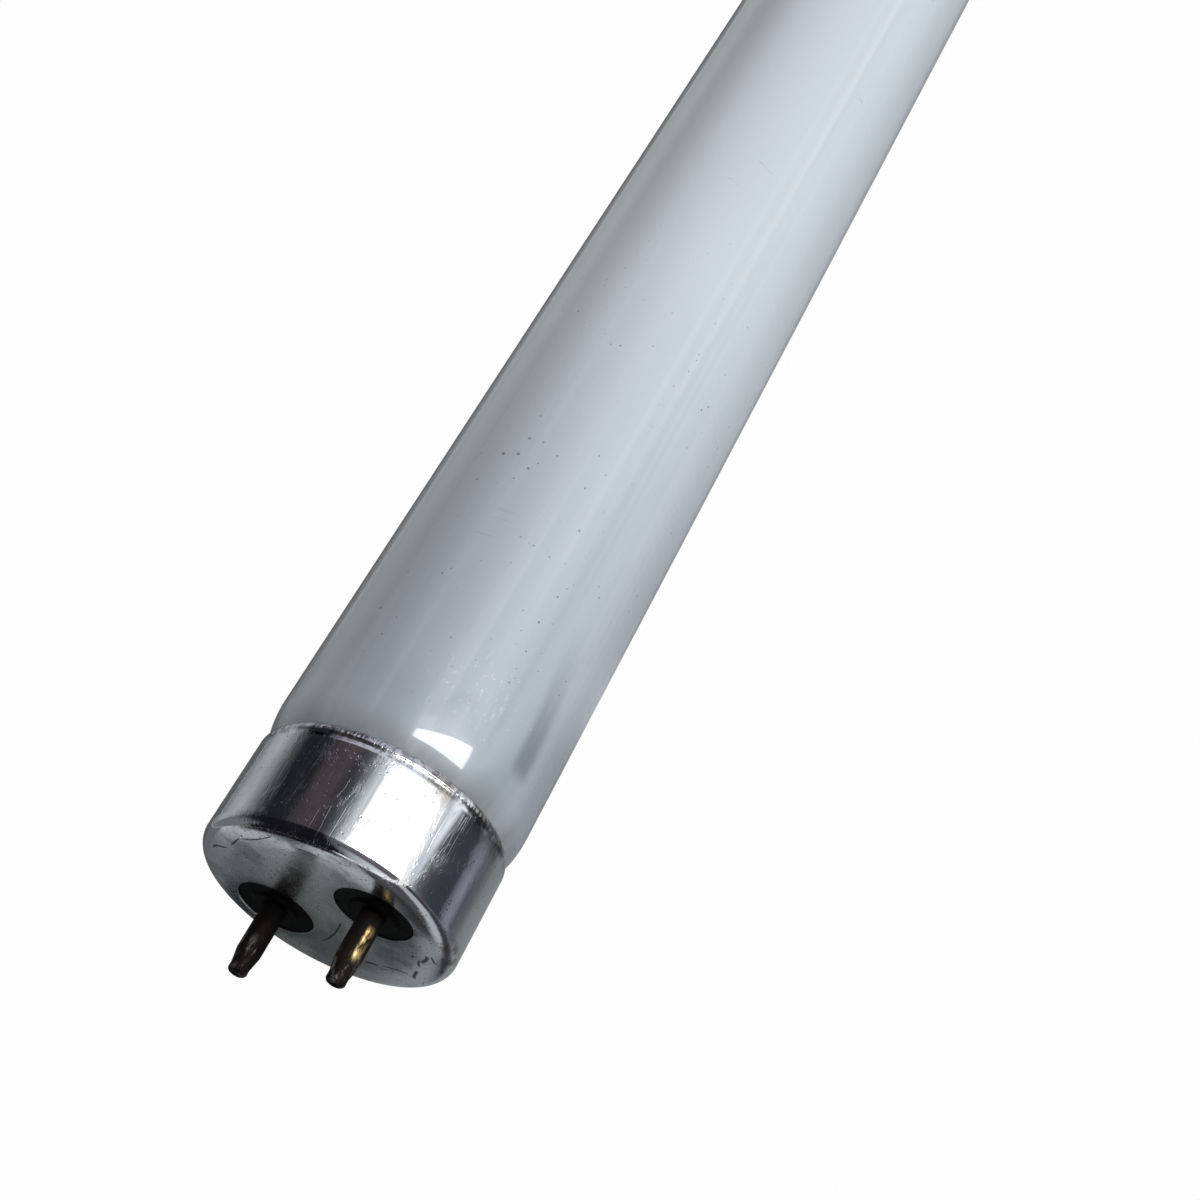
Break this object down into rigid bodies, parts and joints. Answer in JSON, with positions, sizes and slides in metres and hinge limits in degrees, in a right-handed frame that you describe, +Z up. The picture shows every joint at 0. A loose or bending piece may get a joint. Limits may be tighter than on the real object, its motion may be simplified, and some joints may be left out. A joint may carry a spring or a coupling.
{
  "type": "fluorescent tube",
  "caption": "Straight tubular fluorescent lamp: white-coated glass drawn in at the ends, with a polished metal cap and side-by-side contact pins at each end.",
  "frame": {"origin": "middle of the lamp, on its axis", "axes": "+X along the lamp from end a to end b, Y along the line of the pins of each cap, +Z up with the pins level"},
  "size_m": [0.604, 0.026, 0.026],
  "materials": {
    "coated_glass": "clear glossy glass over an opaque white powder coating",
    "cap_aluminium": "drawn and polished sheet, worn, with a matt scratched end face",
    "insulator_resin": "moulded phenolic resin, near black",
    "pin_brass": "tarnished almost black, rubbed bright along one side",
    "lead_wire_metal": "drawn wire",
    "capping_cement": "hard baked cement"
  },
  "bodies": {
    "root": {"glass_tube": "coated_glass", "cap_shell_a": "cap_aluminium", "cap_shell_b": "cap_aluminium", "insulator_a": "insulator_resin", "insulator_b": "insulator_resin", "pin_a1": "pin_brass", "pin_a2": "pin_brass", "pin_b1": "pin_brass", "pin_b2": "pin_brass", "lead_wire_a1": "lead_wire_metal", "lead_wire_a2": "lead_wire_metal", "lead_wire_b1": "lead_wire_metal", "lead_wire_b2": "lead_wire_metal", "cement_a": "capping_cement", "cement_b": "capping_cement"}
  },
  "joints": []
}
